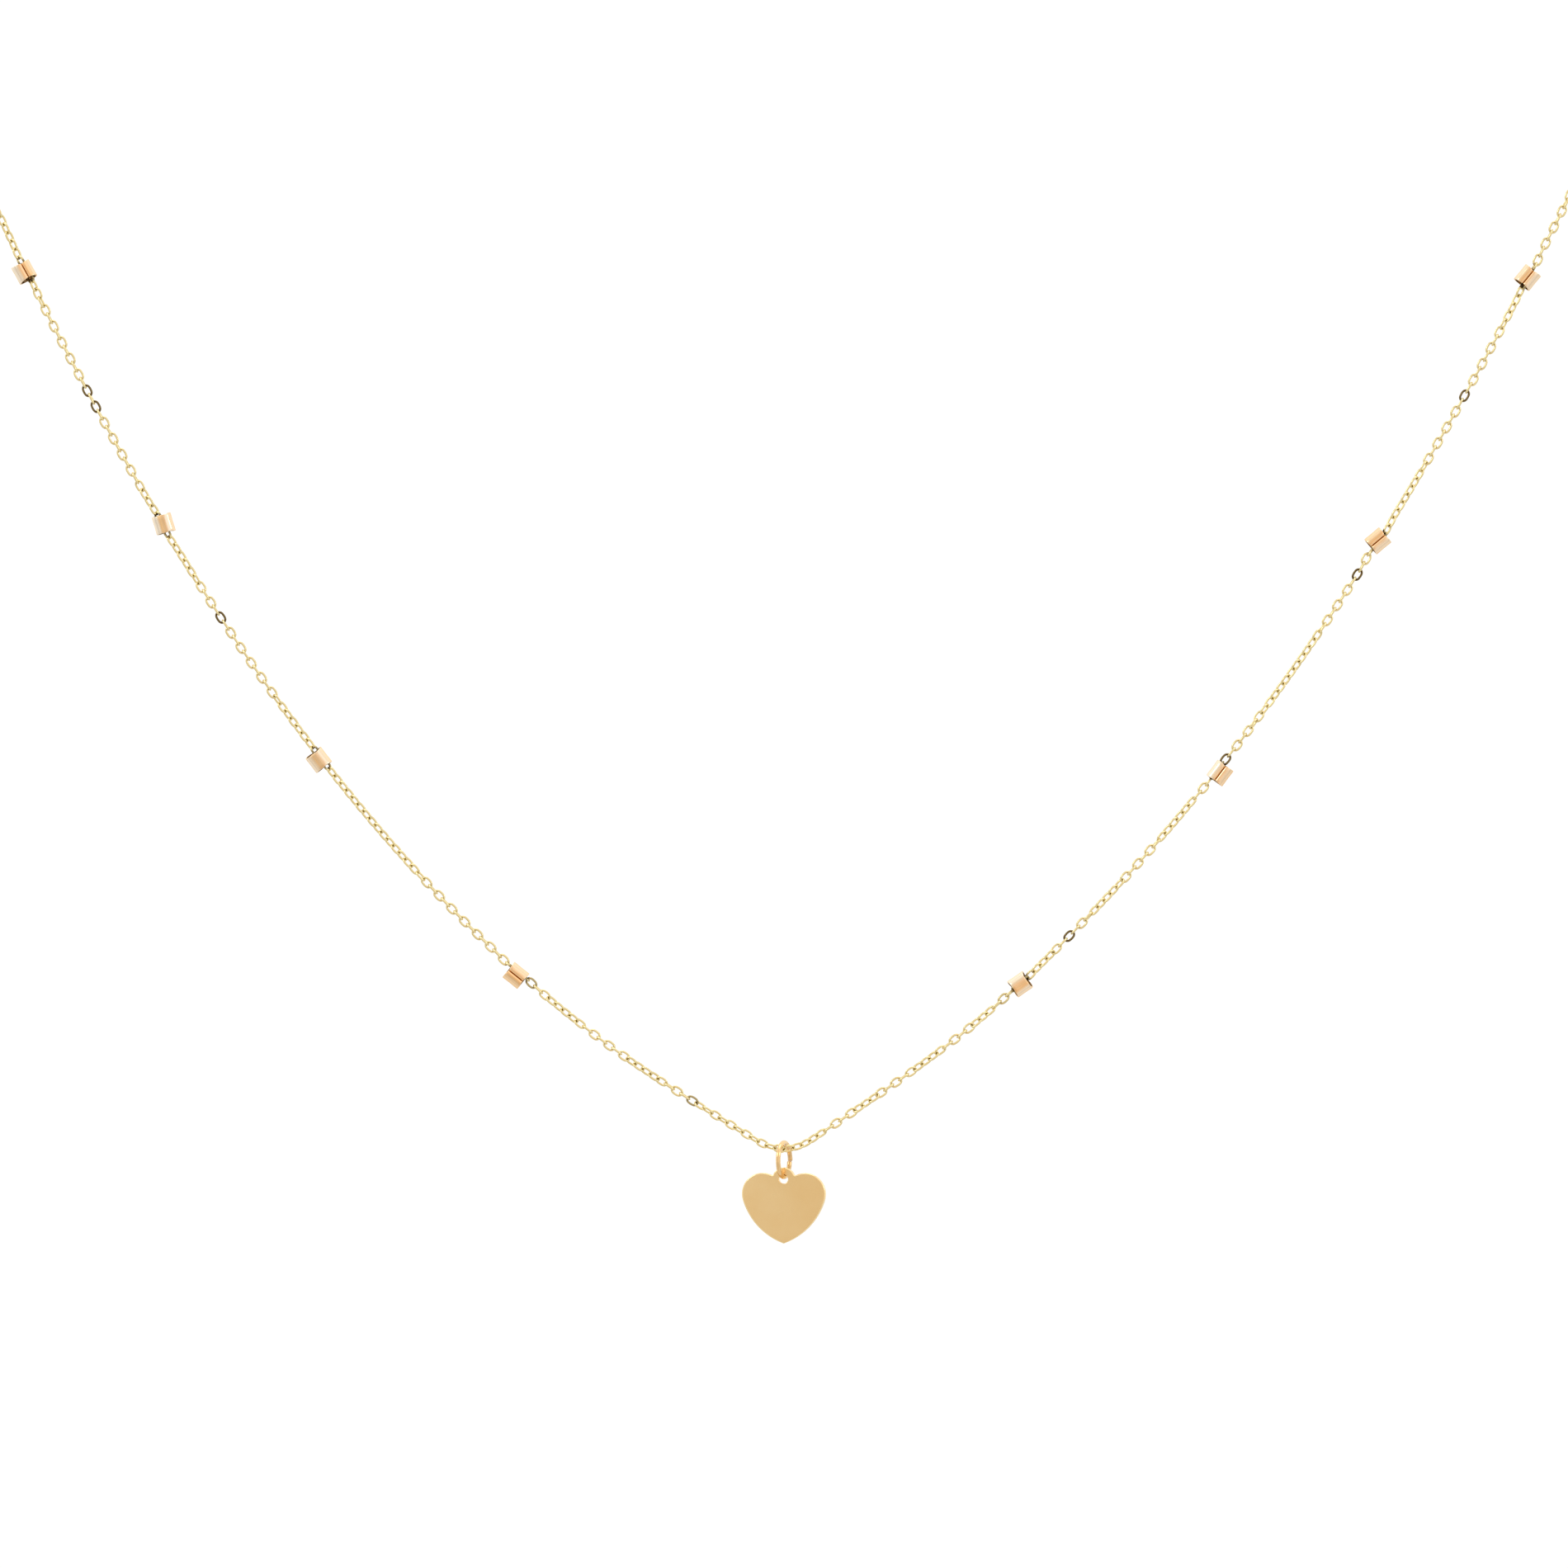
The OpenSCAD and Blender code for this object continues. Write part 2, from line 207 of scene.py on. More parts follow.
def gold(name, light, deep, rough, rough_var=0.05, grain=9000.0, lines=None, bump=0.05, tone_dark=None, coarse=700.0,
         blotch=0.35, bands=None, edge=(1.0, 1.0, 1.0), warm=False):
    """Polished or satin gold. light and deep are the two colours that the metal drifts between, lines gives the
    stretch of drawn or brushed lines along the piece, and tone_dark is the colour where the tone value is 1."""
    m = bpy.data.materials.new(name)
    m.use_nodes = True
    t = m.node_tree
    t.nodes.clear()
    L = t.links.new
    out = t.nodes.new("ShaderNodeOutputMaterial")
    p = t.nodes.new("ShaderNodeBsdfPrincipled")
    p.inputs["Metallic"].default_value = 1.0
    p.inputs["Roughness"].default_value = rough
    p.inputs["Specular Tint"].default_value = (*edge, 1)
    L(p.outputs[0], out.inputs[0])
    geo = t.nodes.new("ShaderNodeTexCoord")
    # slow drift of colour over the surface
    n1 = node(t, "ShaderNodeTexNoise", Scale=coarse, Detail=3.0, Roughness=0.55)
    if bands:
        fb = t.nodes.new("ShaderNodeAttribute")
        fb.attribute_name = "flow"
        mb = t.nodes.new("ShaderNodeMapping")
        mb.inputs["Scale"].default_value = bands
        L(fb.outputs["Vector"], mb.inputs["Vector"])
        L(mb.outputs["Vector"], n1.inputs["Vector"])
        n1.inputs["Scale"].default_value = 1.0
    else:
        L(geo.outputs["Object"], n1.inputs["Vector"])
    r1 = t.nodes.new("ShaderNodeMapRange")
    r1.inputs["From Min"].default_value = 0.3
    r1.inputs["From Max"].default_value = 0.75
    r1.inputs["To Max"].default_value = blotch
    L(n1.outputs["Fac"], r1.inputs["Value"])
    mix = t.nodes.new("ShaderNodeMix")
    mix.data_type = "RGBA"
    mix.inputs["A"].default_value = (*light, 1)
    mix.inputs["B"].default_value = (*deep, 1)
    drift = r1.outputs["Result"]
    if warm:
        # painted light and shade across the bead, as pale and deep orange bands
        aw = t.nodes.new("ShaderNodeAttribute")
        aw.attribute_name = "warm"
        add = t.nodes.new("ShaderNodeMath")
        add.operation = "ADD"
        add.use_clamp = True
        L(aw.outputs["Fac"], add.inputs[0])
        L(drift, add.inputs[1])
        drift = add.outputs[0]
    L(drift, mix.inputs["Factor"])
    color = mix.outputs["Result"]
    if tone_dark is not None:
        at = t.nodes.new("ShaderNodeAttribute")
        at.attribute_name = "tone"
        mix2 = t.nodes.new("ShaderNodeMix")
        mix2.data_type = "RGBA"
        mix2.inputs["B"].default_value = (*tone_dark, 1)
        L(at.outputs["Fac"], mix2.inputs["Factor"])
        L(color, mix2.inputs["A"])
        color = mix2.outputs["Result"]
    L(color, p.inputs["Base Color"])
    # fine grain, or lines along the piece
    n2 = node(t, "ShaderNodeTexNoise", Detail=4.0, Roughness=0.6)
    if lines:
        fl = t.nodes.new("ShaderNodeAttribute")
        fl.attribute_name = "flow"
        mp = t.nodes.new("ShaderNodeMapping")
        mp.inputs["Scale"].default_value = lines
        L(fl.outputs["Vector"], mp.inputs["Vector"])
        L(mp.outputs["Vector"], n2.inputs["Vector"])
        n2.inputs["Scale"].default_value = 1.0
    else:
        L(geo.outputs["Object"], n2.inputs["Vector"])
        n2.inputs["Scale"].default_value = grain
    r2 = t.nodes.new("ShaderNodeMapRange")
    r2.inputs["From Min"].default_value = 0.25
    r2.inputs["From Max"].default_value = 0.75
    r2.inputs["To Min"].default_value = max(0.02, rough - rough_var)
    r2.inputs["To Max"].default_value = rough + rough_var
    L(n2.outputs["Fac"], r2.inputs["Value"])
    L(r2.outputs["Result"], p.inputs["Roughness"])
    b = t.nodes.new("ShaderNodeBump")
    b.inputs["Strength"].default_value = bump
    b.inputs["Distance"].default_value = 0.00002
    L(n2.outputs["Fac"], b.inputs["Height"])
    L(b.outputs["Normal"], p.inputs["Normal"])
    return m


M_chain = gold("chain_gold_mat", (0.92, 0.80, 0.46), (0.80, 0.65, 0.29), 0.17, 0.06, grain=7000, bump=0.07,
               tone_dark=(0.10, 0.055, 0.01), coarse=900, edge=(0.95, 0.80, 0.50))
M_bead = gold("bead_rose_gold_mat", (1.0, 0.90, 0.74), (0.98, 0.63, 0.31), 0.22, 0.06, lines=(0.5, 22, 22), bump=0.08,
              tone_dark=(0.17, 0.085, 0.02), blotch=0.30, bands=(0.12, 2.6, 2.6), edge=(1.0, 0.86, 0.66), warm=True)
M_heart = gold("heart_satin_mat", (0.935, 0.69, 0.36), (0.895, 0.625, 0.295), 0.30, 0.03, grain=4200, bump=0.05,
               coarse=420, blotch=0.6)
M_heart_edge = gold("heart_edge_mat", (1.0, 0.80, 0.46), (0.95, 0.70, 0.34), 0.16, 0.05, grain=6000, bump=0.06)
M_ring = gold("jump_ring_gold_mat", (0.92, 0.66, 0.34), (0.80, 0.47, 0.18), 0.15, 0.05, lines=(1.2, 22, 22), bump=0.12,
              tone_dark=(0.55, 0.30, 0.10), coarse=1500)
M_clasp = gold("clasp_gold_mat", (0.95, 0.76, 0.43), (0.86, 0.64, 0.32), 0.17, 0.06, grain=4200, bump=0.08,
               tone_dark=(0.4, 0.26, 0.09), coarse=600)
M_steel = gold("spring_steel_mat", (0.62, 0.61, 0.60), (0.50, 0.49, 0.47), 0.28, 0.06, lines=(0.8, 30, 30), bump=0.15)


# ---------------------------------------------------------------- chain: one mesh of real links per section
def link_shape(arc):
    """Centreline and wire of one oval link lying flat, long way along X."""
    r = (link_w - wire) / 2
    a = (link_len - wire) / 2 - r
    pts = []
    for k in range(arc + 1):
        t = -math.pi / 2 + math.pi * k / arc
        pts.append([a + r * math.cos(t), r * math.sin(t), 0])
    pts.append([0, r + 0.006, 0])
    for k in range(arc + 1):
        t = math.pi / 2 + math.pi * k / arc
        pts.append([-a + r * math.cos(t), r * math.sin(t), 0])
    pts.append([0, -r - 0.006, 0])
    pts = np.array(pts)
    # a little rounder than a stadium: its long sides bow out from the two ends
    bow = 1 - 0.13 * np.clip(np.abs(pts[:, 0]) / (a + r), 0, 1) ** 1.5 * (np.abs(pts[:, 1]) / r)
    pts[:, 1] *= bow
    return pts


def link_mesh(arc, sides):
    path = link_shape(arc)
    v, f, flow = tube(path, wire / 2, sides, True, (0, 0, 1))
    # painted shade and dirt: the inner side of the two ends, where the next link crosses, is darker
    own = np.repeat(path, sides, 0)
    end = np.clip((np.abs(own[:, 0]) - link_len / 2 + 0.42) / 0.25, 0, 1)
    inner = np.clip((np.abs(own[:, 0]) - np.abs(v[:, 0])) / (wire / 2) + 0.15, 0, 1)
    return v, f, flow, 0.62 * end * inner


NEAR_LINK, FAR_LINK = link_mesh(11, 8), link_mesh(7, 6)
# painted reflection: links whose wire is darkened as if its face showed the dark of the room
DARK_REFLECTION = {-1: {12: 0.5, 34: 0.45, 87: 0.85, 114: 0.8, 116: 0.8}, 1: {30: 0.2, 40: 0.8, 66: 0.85, 91: 0.85, 114: 0.85}}
rng = np.random.default_rng(7)


def bead_place(side, k):
    """Middle and lengthwise direction of bead k of a strand, with its placing matrix."""
    at, sets = (bead_l, set_l) if side < 0 else (bead_r, set_r)
    s = sets[k - 1]
    R, c = along_chain(side, at[k - 1], side * s[3])
    m = R @ rot(0, -s[5], 0)
    return m, c + R @ np.array([s[4], 0, 0]), m @ np.array([1.0, 0, 0])


BEADS = {-1: [bead_place(-1, k) for k in range(1, 8)], 1: [bead_place(1, k) for k in range(1, 8)]}


def shade_near_beads(side, P):
    out = np.zeros(len(P))
    for _, c, d in BEADS[side]:
        rel = P - c
        u = np.abs(rel @ d)
        near = np.linalg.norm(rel, axis=1) < 1.9
        out = np.maximum(out, near * np.clip((1.30 - u) / 0.16, 0, 1) * 0.7)
    return out



for side, name, at, rolls in ((-1, "left", bead_l, roll_l), (1, "right", bead_r, roll_r)):
    for k in range(1, 9):
        first = 1 if k == 1 else at[k - 2] + 2
        last = n_links if k == 8 else at[k - 1] + 1
        B = Build()
        for i in range(first, last + 1):
            R, c = along_chain(side, i, along(rolls, (i - 0.5) * pitch) + 90 * (i % 2))
            V, F, flow, crossing_dirt_and_shade = NEAR_LINK if i < 146 else FAR_LINK
            # tone of each link: painted reflection on the listed links, random variation, and painted shade and dirt
            # where links cross; painted shade next to the beads is added below
            tone = np.clip(DARK_REFLECTION[side].get(i, 0.0) + 0.07 * rng.random() + crossing_dirt_and_shade, 0, 1)
            P = V @ R.T + c
            B.add(P, F, np.maximum(tone, shade_near_beads(side, P)), flow + [3.7 * i, 0, 0])
        cad = f"chain_{name}_{k}"
        ob = B.make(f"links_{name}_{k}", [M_chain])
        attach(ob, body_of_node[cad])
        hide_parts(cad)


# ---------------------------------------------------------------- crimped tube beads
def smooth_line(pts, per=5):
    """Catmull-Rom through the points."""
    p = np.array(pts, float)
    q = np.vstack([2 * p[0] - p[1], p, 2 * p[-1] - p[-2]])
    out = []
    for i in range(1, len(q) - 2):
        for j in range(per):
            t = j / per
            out.append(0.5 * ((2 * q[i]) + (-q[i - 1] + q[i + 1]) * t + (2 * q[i - 1] - 5 * q[i] + 4 * q[i + 1] - q[i + 2]) * t ** 2
                              + (-q[i - 1] + 3 * q[i] - 3 * q[i + 1] + q[i + 2]) * t ** 3))
    out.append(q[-2])
    return np.array(out)


def bead_wall(depth):
    """The rolled sheet of a crimped bead as a line, crease on -y: from one curled-in edge round to the other."""
    half = [(0.125, -0.72 + depth), (0.116, -0.62), (0.150, -0.70), (0.29, -0.742), (0.60, -0.65), (0.82, -0.40), (0.925, -0.02),
            (0.85, 0.36), (0.60, 0.635), (0.28, 0.725), (0.0, 0.72)]
    right = smooth_line(half, 4)
    left = right[::-1][1:] * [-1, 1]
    return np.vstack([right, left])


def bead_mesh(off, depth, notch, front, open_in, open_out, wall=0.19):
    C = bead_wall(depth)
    T = np.gradient(C, axis=0)
    T /= np.linalg.norm(T, axis=1)[:, None]
    N = np.stack([T[:, 1], -T[:, 0]], 1)  # outwards
    n = len(C)

    def loop(s):
        o, i = C + N * wall / 2 * s, C - N * wall / 2 * s
        a, b = C[0] - T[0] * wall * 0.42 * s, C[-1] + T[-1] * wall * 0.42 * s
        return np.vstack([o, [b], i[::-1], [a]])

    def end_at(q, sgn):
        # a small notch where the sheet's edges roll in, and a wall that stops short on the side towards the viewer
        g = notch * np.exp(-((q[:, 0] / 0.36) ** 2)) * np.clip(0.5 - q[:, 1] / 1.4, 0, 1)
        h = (open_in if sgn < 0 else open_out) * np.clip(0.45 + front * q[:, 1] / 1.1, 0, 1) ** 1.5
        return bead_len / 2 - g - h

    rows = []
    half = [(1.0, 0.0, 0.52), (0.86, 0.016, 0.88), (1.0, 0.05, 1.0)]
    full = loop(1.0)
    for sgn in (-1, 1):
        part = []
        for _, back, s in (half if sgn < 0 else half[::-1]):
            q = loop(s)
            part.append(np.column_stack([q, sgn * (end_at(full, sgn) - back)]))
        if sgn < 0:
            rows += part
            for u in (-0.6, -0.3, 0.0, 0.3, 0.6):
                # faint waist from the crimping tool, and lips that open slightly at the ends
                w = 1 - 0.012 * math.cos(u * 2.6)
                rows.append(np.column_stack([full * w, np.full(len(full), u)]))
        else:
            rows += part
    V = np.array(rows)
    m = len(full)
    F = grid_faces(len(rows), m)
    for base in (0, (len(rows) - 1) * m):
        for j in range(n - 1):
            F.append((base + j, base + j + 1, base + m - 2 - (j + 1), base + m - 2 - j))
        F.append((base + n - 1, base + n, base + n + 1))
        F.append((base + m - 2, base + m - 1, base))
    P = V.reshape(-1, 3)
    s = np.concatenate([[0], np.cumsum(np.linalg.norm(np.diff(full, axis=0), axis=1))])
    flow = np.column_stack([P[:, 2], np.tile(s, len(rows)), np.zeros(len(P))])
    # painted shade: the wall's inner face and the deep of the crease are darker, the end rows half as much
    recess_shade = np.zeros(m)
    recess_shade[n + 1:m - 1] = 0.95
    recess_shade[[n, m - 1]] = 0.9
    recess_shade[:4] = [0.95, 0.85, 0.40, 0.04]
    recess_shade[n - 4:n] = [0.04, 0.40, 0.85, 0.95]
    tone = np.tile(recess_shade, len(rows))
    tone[:m] *= 0.5
    tone[-m:] *= 0.5
    P[:, 0] += -off - 0.04
    P[:, 1] += -0.14
    return P, F, tone, flow


# how far the near wall stops short at the end nearer the pendant and at the other, in mm
OPEN = {(-1, 4): (0.18, 0.05), (-1, 3): (0.14, 0.0), (-1, 2): (0.05, 0.20), (1, 1): (0.10, 0.24), (1, 4): (0.10, 0.0),
        (-1, 6): (0.1, 0.15), (1, 6): (0.1, 0.1)}
# painted light and shade across each bead, from its left side to its right: 0 pale, 1 deep orange
BEAD_PAINTED_LIGHT = {(-1, 4): [(-1, 0.0), (-0.3, 0.05), (-0.1, 0.6), (0.5, 0.8), (1, 0.4)],
        (-1, 3): [(-1, 0.0), (-0.45, 0.1), (-0.25, 0.85), (0.15, 0.8), (0.3, 0.05), (0.5, 0.05), (0.65, 0.45), (1, 0.4)],
        (-1, 2): [(-1, 0.1), (-0.5, 0.3), (-0.2, 0.75), (0.1, 0.65), (0.3, 0.05), (0.6, 0.35), (1, 0.45)],
        (-1, 1): [(-1, 0.5), (-0.3, 0.7), (0, 0.8), (0.3, 0.55), (1, 0.5)],
        (1, 1): [(-1, 0.05), (-0.3, 0.15), (-0.05, 0.7), (0.35, 0.85), (0.6, 0.3), (1, 0.4)],
        (1, 2): [(-1, 0.0), (-0.35, 0.15), (-0.1, 0.85), (0.2, 0.5), (1, 0.6)],
        (1, 3): [(-1, 0.5), (-0.3, 0.65), (0, 0.8), (0.3, 0.4), (1, 0.35)],
        (1, 4): [(-1, 0.4), (-0.4, 0.6), (0, 0.8), (0.3, 0.2), (1, 0.2)]}
DEPTH = {(1, 2): 0.27, (1, 3): 0.28, (-1, 1): 0.18, (1, 4): 0.24}
for side, name, at, sets in ((-1, "left", bead_l, set_l), (1, "right", bead_r, set_r)):
    for k in range(1, 8):
        s = sets[k - 1]
        o_in, o_out = OPEN.get((side, k), (0.0, 0.0))
        P, F, tone, flow = bead_mesh(s[1], DEPTH.get((side, k), 0.24), 0.10, -s[2], o_in, o_out)
        q = np.column_stack([P[:, 2], -P[:, 1], P[:, 0]])  # rotate([0, 90, 0]) rotate([0, 0, 180])
        if -side * s[2] < 0:
            q[:, 1] *= -1
            F = [f[::-1] for f in F]
        R, c = along_chain(side, at[k - 1], side * s[3])
        q = (q @ rot(0, -s[5], 0).T) + [s[4], 0, 0]
        B = Build()
        B.add(q @ R.T + c, F, tone, flow + [5.1 * k, 0, 0])
        cad = f"crimp_bead_{name}_{k}"
        ob = B.make(f"bead_{name}_{k}", [M_bead])
        _, centre, d = BEADS[side][k - 1]
        w = np.array([abs(d[2]), 0, -d[0] * math.copysign(1, d[2])])
        w /= np.linalg.norm(w)
        co = np.empty(len(ob.data.vertices) * 3)
        ob.data.vertices.foreach_get("co", co)
        x = (co.reshape(-1, 3) / MM - centre) @ w
        x = (x - (x.max() + x.min()) / 2) / ((x.max() - x.min()) / 2)
        prof = BEAD_PAINTED_LIGHT.get((side, k), [(-1, 0.3), (0, 0.6), (1, 0.4)])
        # the warm attribute carries this painted light and shade
        ob.data.attributes.new("warm", "FLOAT", "POINT").data.foreach_set(
            "value", np.interp(x, [q[0] for q in prof], [q[1] for q in prof]).astype(np.float32))
        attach(ob, body_of_node[cad])
        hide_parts(cad)

# ---------------------------------------------------------------- pendant jump ring: bent wire with a butt seam
ring_od, ring_d, ring_yaw = 4.05, 0.5, 20
ring_z = 0.68 + ring_d / 2 - ring_od / 2
ear_hole, heart_t, heart_yaw = 0.95, 0.7, 12
hole_z = ring_z - (ring_od / 2 - ring_d) - 0.02 + 0.04 - ear_hole / 2


def cut_ring(od, d, cut_deg, gap, slip, sides=16, steps=72):
    """A wire ring about Z, cut at cut_deg, its two ends slipped apart by slip along Z, with softly broken edges."""
    r = (od - d) / 2
    half_gap = gap / 2 / r
    a = np.linspace(half_gap, 2 * math.pi - half_gap, steps)
    # extra rows at the two ends for the broken edge
    e = 0.10 * d / r
    a = np.concatenate([[a[0], a[0] + e * 0.3], a[1:-1] if a[1] > a[0] + e else a[2:-2], [a[-1] - e * 0.3, a[-1]]])
    rad = np.full(len(a), d / 2)
    rad[[0, -1]] *= 0.80
    rad[[1, -2]] *= 0.95
    z = slip * (np.exp(-((a - a[0]) / 0.35) ** 2) - np.exp(-((a - a[-1]) / 0.35) ** 2)) / 2
    th = a + math.radians(cut_deg)
    path = np.column_stack([r * np.cos(th), r * np.sin(th), z])
    up = np.column_stack([0 * th, 0 * th, 0 * th + 1.0])
    V, F, flow = tube(path, rad, sides, False, up)
    n = len(path)
    V = np.vstack([V, path[0], path[-1]])
    flow = np.vstack([flow, [0, 0, 0], [0, 0, 0]])
    for j in range(sides):
        F.append((n * sides, (j + 1) % sides, j))
        F.append((n * sides + 1, (n - 1) * sides + j, (n - 1) * sides + (j + 1) % sides))
    tone = np.zeros(len(V))
    tone[:sides] = tone[(n - 1) * sides:n * sides] = 0.8
    tone[-2:] = 0.8
    return V, F, tone, flow


def place(B, V, F, R, c, tone=0.0, flow=None, mat=0):
    B.add(V @ R.T + np.asarray(c, float), F, tone, flow, mat)


B = Build()
V, F, tone, flow = cut_ring(ring_od, ring_d, 84, 0.035, 0.07)
tone = np.maximum(tone, 0.55 * np.clip(2 * V[:, 1] / ring_od, 0, 1))  # painted shade: the back branch is darker
place(B, V, F, rot(0, 0, -ring_yaw) @ rot(0, 90, 0), [0, front_y, ring_z - drop], tone, flow)
ob = B.make("jump_ring_wire", [M_ring])
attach(ob, "ring")
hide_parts("pendant_jump_ring")


# ---------------------------------------------------------------- heart plate with rounded rim, ear and hole
def heart_outline():
    """Outline in local (x, z), counter-clockwise from the tip, with outward normals; corners get mitred normals."""
    lobe, cx, cz = 2.17, 2.25, -1.54
    R, sx, sz = 6.95, 2.3, -0.11
    ear = 1.2
    tip = np.array([0, sz - math.sqrt(R * R - sx * sx)])
    # right half: side arc centred (-sx, sz), from the tip up to where it meets the lobe
    d = math.hypot(cx + sx, cz - sz)
    base = math.atan2(cz - sz, cx + sx)
    # the lobe circle meets the side circle where both distances hold
    a = (R * R - lobe * lobe + d * d) / (2 * d)
    if abs(a / R) < 1:
        psi = base - math.acos(min(1, a / R))
    else:
        psi = base
    t0 = math.atan2(tip[1] - sz, tip[0] + sx)
    arc = [np.array([-sx + R * math.cos(t), sz + R * math.sin(t)]) for t in np.linspace(t0, psi, 26)]
    nor = [np.array([math.cos(t), math.sin(t)]) for t in np.linspace(t0, psi, 26)]
    p = arc[-1] - [cx, cz]
    l0 = math.atan2(p[1], p[0])
    # a small fillet lies between each lobe and the ear
    fil = 0.16
    d2 = math.hypot(cx, cz)
    r1, r2 = lobe + fil, ear + fil
    aa = (r2 * r2 - r1 * r1 + d2 * d2) / (2 * d2)
    hh = math.sqrt(r2 * r2 - aa * aa)
    ux, uz = cx / d2, cz / d2
    Q = np.array([aa * ux - hh * uz, aa * uz + hh * ux])
    l1 = math.atan2(Q[1] - cz, Q[0] - cx)
    ts = np.linspace(l0, l1, 34)[1:]
    lob = [np.array([cx + lobe * math.cos(t), cz + lobe * math.sin(t)]) for t in ts]
    lno = [np.array([math.cos(t), math.sin(t)]) for t in ts]
    f0 = math.atan2(cz - Q[1], cx - Q[0]) % (2 * math.pi)
    f1 = math.atan2(-Q[1], -Q[0]) % (2 * math.pi)
    if f1 - f0 > math.pi:
        f1 -= 2 * math.pi
    if f0 - f1 > math.pi:
        f0 -= 2 * math.pi
    ts = np.linspace(f0, f1, 9)[1:-1]
    fip = [Q + fil * np.array([math.cos(t), math.sin(t)]) for t in ts]
    fno = [-np.array([math.cos(t), math.sin(t)]) for t in ts]
    e0 = math.atan2(Q[1], Q[0])
    ts = np.linspace(e0, math.pi / 2, 14)
    eap = [np.array([ear * math.cos(t), ear * math.sin(t)]) for t in ts]
    eno = [np.array([math.cos(t), math.sin(t)]) for t in ts]
    P = arc + lob + fip + eap
    Nn = nor + lno + fno + eno
    Nn[0] = np.array([0.0, -1.0]) / max(0.4, abs(nor[0][1]))
    P, Nn = np.array(P), np.array(Nn)
    left = P[::-1][1:-1] * [-1, 1]
    lnn = Nn[::-1][1:-1] * [-1, 1]
    return np.vstack([P, left]), np.vstack([Nn, lnn])


def heart_mesh():
    O, N = heart_outline()
    n = len(O)
    O0 = np.array([0, -0.3])
    hr = ear_hole / 2
    d = O - O0
    d /= np.linalg.norm(d, axis=1)[:, None]
    # from O0 to the hole's edge along each ray
    bq = (d * O0).sum(1)
    th = -bq + np.sqrt(bq * bq - (O0 @ O0 - hr * hr))
    H = O0 + d * th[:, None]
    HN = -H / hr  # outwards from the metal, that is into the hole
    b, bh, T = 0.13, 0.07, heart_t / 2

    def dome(q):
        return 0.085 * np.clip((q[:, 0] / 4.4) ** 2, 0, 1)

    rows, mats = [], []
    seg = 5
    # front face from the hole's rim outwards
    for j in range(seg + 1):
        ph = math.pi / 2 * j / seg
        q = H - HN * bh * (1 - math.cos(ph))
        rows.append(np.column_stack([q[:, 0], T - bh * (1 - math.sin(ph)) - dome(q), q[:, 1]]))
    inner, outer = H - HN * (bh + 0.03), O - N * (b + 0.03)
    for f in (0.0, 0.12, 0.25, 0.4, 0.55, 0.7, 0.85, 0.95, 1.0):
        q = inner * (1 - f) + outer * f
        rows.append(np.column_stack([q[:, 0], T - dome(q), q[:, 1]]))
    for j in range(seg + 1):
        ph = math.pi / 2 * (1 - j / seg)
        q = O - N * b * (1 - math.cos(ph))
        rows.append(np.column_stack([q[:, 0], T - b * (1 - math.sin(ph)) - dome(q), q[:, 1]]))
    front = np.array(rows)
    back = front.copy()[::-1]
    back[:, :, 1] *= -1
    V = np.vstack([front, back])
    F = grid_faces(len(V), n, True, True)
    # local (x, depth towards the viewer, z) -> frame: depth goes to -Y
    P = V.reshape(-1, 3) * [1, -1, 1]
    nf = len(front)
    mat = []
    for r in range(len(V)):
        face_row = (seg <= r < nf - seg - 1) or (nf + seg <= r < 2 * nf - seg - 1)
        mat += [0 if face_row else 1] * n
    return P, F, mat


P, F, mat = heart_mesh()
B = Build()
place(B, P, F, rot(0, 0, -heart_yaw), [0, front_y, hole_z - drop], 0.0, P)
B.mat = mat
ob = B.make("heart_plate", [M_heart, M_heart_edge])
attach(ob, "heart")
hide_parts("heart_pendant")

# ---------------------------------------------------------------- clasp: the same bodies with tumbled, rounded edges
def rounded(cad, name, mats, width, segments=3):
    src = frame["nodes"][cad]
    bm = bmesh.new()
    bm.from_mesh(src.data)
    bm.transform(src.matrix_world)
    bmesh.ops.remove_doubles(bm, verts=bm.verts, dist=1e-7)
    bmesh.ops.dissolve_limit(bm, angle_limit=math.radians(2.0), verts=bm.verts, edges=bm.edges)
    sharp = [e for e in bm.edges if len(e.link_faces) == 2 and e.calc_face_angle(0.0) > math.radians(38)]
    if width:
        bmesh.ops.bevel(bm, geom=sharp, offset=width * MM, offset_type="OFFSET", segments=segments, profile=0.5,
                        affect="EDGES", clamp_overlap=True)
    bmesh.ops.triangulate(bm, faces=[f for f in bm.faces if len(f.verts) > 4])
    bmesh.ops.recalc_face_normals(bm, faces=bm.faces)
    me = bpy.data.meshes.new(name)
    bm.to_mesh(me)
    bm.free()
    me.polygons.foreach_set("use_smooth", [True] * len(me.polygons))
    co = np.empty(len(me.vertices) * 3)
    me.vertices.foreach_get("co", co)
    me.attributes.new("tone", "FLOAT", "POINT").data.foreach_set("value", np.zeros(len(me.vertices), np.float32))
    me.attributes.new("flow", "FLOAT_VECTOR", "POINT").data.foreach_set("vector", (co / MM).astype(np.float32))
    ob = bpy.data.objects.new(name, me)
    bpy.context.scene.collection.objects.link(ob)
    for m in mats:
        me.materials.append(m)
    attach(ob, body_of_node[cad])
    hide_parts(cad)
    return ob


